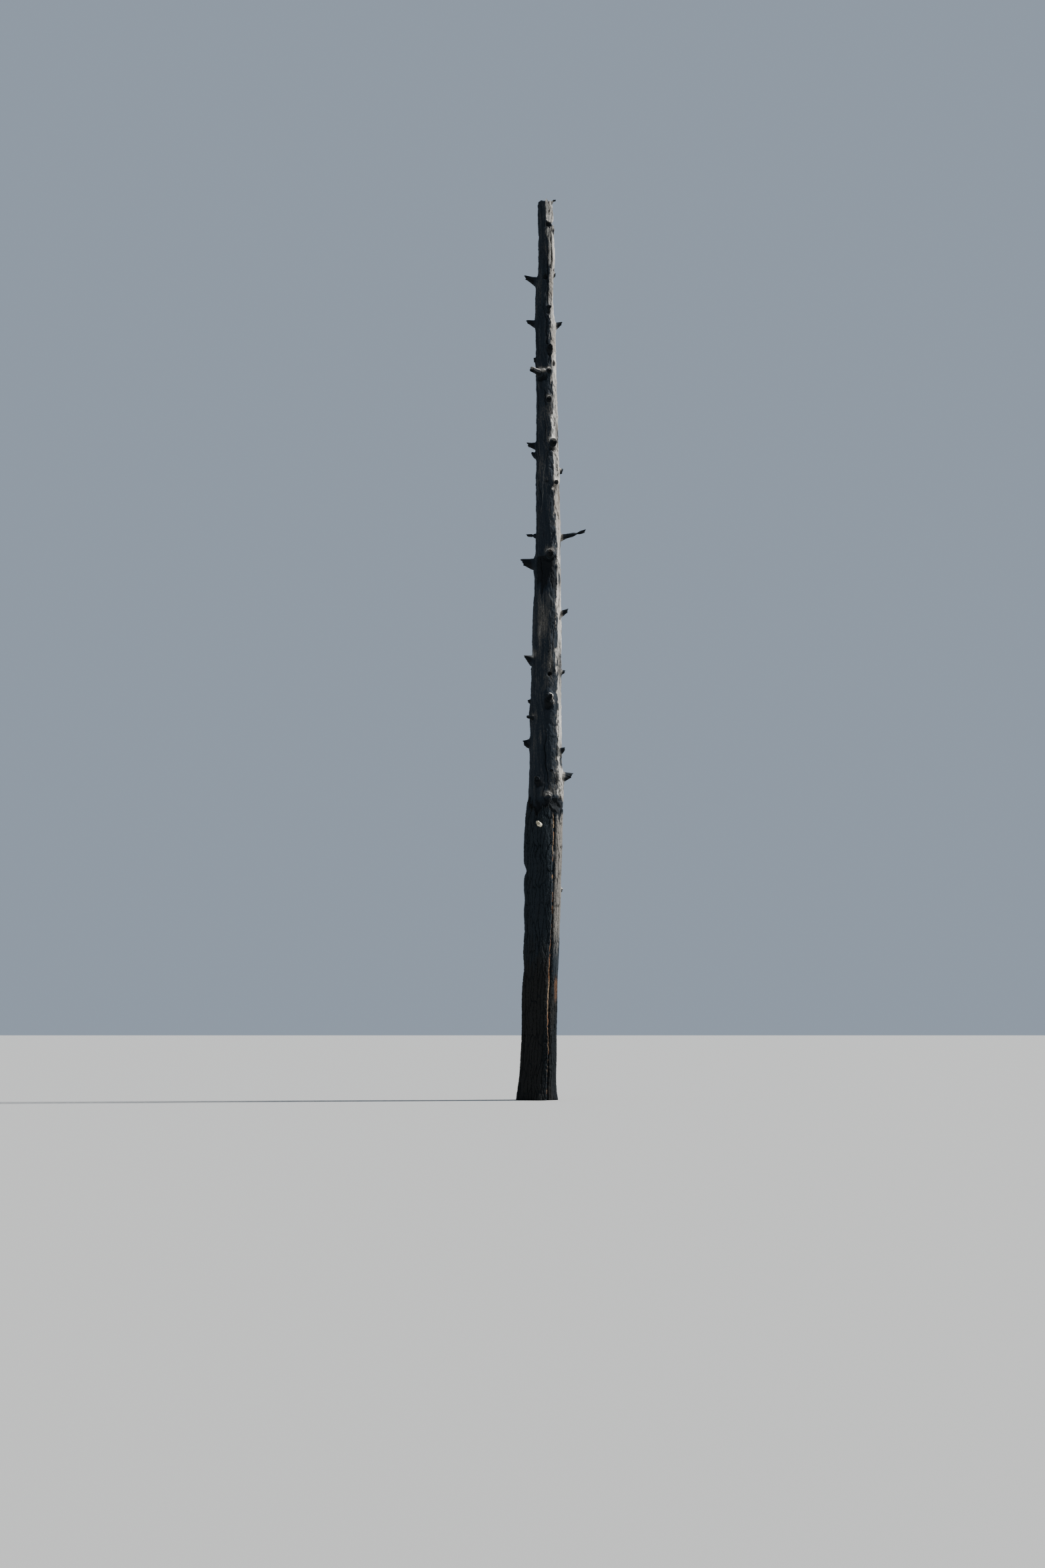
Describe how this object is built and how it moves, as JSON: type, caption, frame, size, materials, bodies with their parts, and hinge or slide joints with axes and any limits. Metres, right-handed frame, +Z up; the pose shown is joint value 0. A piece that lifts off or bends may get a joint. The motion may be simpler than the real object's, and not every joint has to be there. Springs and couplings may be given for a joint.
{
  "type": "dead standing tree",
  "caption": "Bare dead tree trunk, broken off at the top, with short broken branch stubs and charred bark plates round its lower third, standing on a flat cut at ground level.",
  "frame": {"origin": "centre of the flat cut under the trunk, at ground level", "axes": "+Z up along the trunk; -Y towards the front, the side that the picture shows; +X to the tree's right as seen from the front"},
  "size_m": [1.6521, 1.2072, 21.5],
  "materials": {
    "weathered_wood": "dry, silver-grey weathered wood with long checks, fissures and dark stains",
    "stub_wood": "weathered branch wood with broken, splintered ends",
    "fresh_wood": "pale cream wood of a fresher break",
    "charred_bark": "charred, deeply fissured bark with orange-brown broken edges"
  },
  "bodies": {
    "root": {"trunk": "weathered_wood", "bark_left": "charred_bark", "bark_front": "charred_bark", "bark_right": "charred_bark", "bark_back_right": "charred_bark", "bark_back_left": "charred_bark", "left_stub_1": "stub_wood", "left_stub_2": "stub_wood", "left_stub_3": "stub_wood", "left_stub_4": "stub_wood", "left_stub_5": "stub_wood", "left_stub_6": "stub_wood", "left_stub_7": "stub_wood", "left_stub_8": "stub_wood", "left_stub_9": "stub_wood", "left_stub_10": "stub_wood", "left_stub_11": "stub_wood", "left_stub_12": "stub_wood", "right_stub_1": "stub_wood", "right_stub_2": "stub_wood", "right_stub_3": "stub_wood", "right_stub_4": "stub_wood", "right_stub_5": "stub_wood", "right_stub_6": "stub_wood", "right_stub_7": "stub_wood", "right_stub_8": "stub_wood", "right_stub_9": "stub_wood", "right_stub_10": "stub_wood", "front_stub_1": "stub_wood", "front_stub_2": "stub_wood", "front_stub_3": "stub_wood", "front_stub_4": "stub_wood", "front_stub_5": "stub_wood", "front_stub_6": "stub_wood", "front_stub_7": "stub_wood", "front_stub_8": "stub_wood", "front_stub_9": "stub_wood", "front_stub_10": "stub_wood", "front_stub_11": "stub_wood", "front_stub_12": "fresh_wood", "back_stub_1": "stub_wood", "back_stub_2": "stub_wood", "back_stub_3": "stub_wood", "back_stub_4": "stub_wood", "back_stub_5": "stub_wood", "back_stub_6": "stub_wood", "back_stub_7": "stub_wood", "back_stub_8": "stub_wood", "back_stub_9": "stub_wood", "back_stub_10": "stub_wood", "back_stub_11": "stub_wood"}
  },
  "joints": []
}
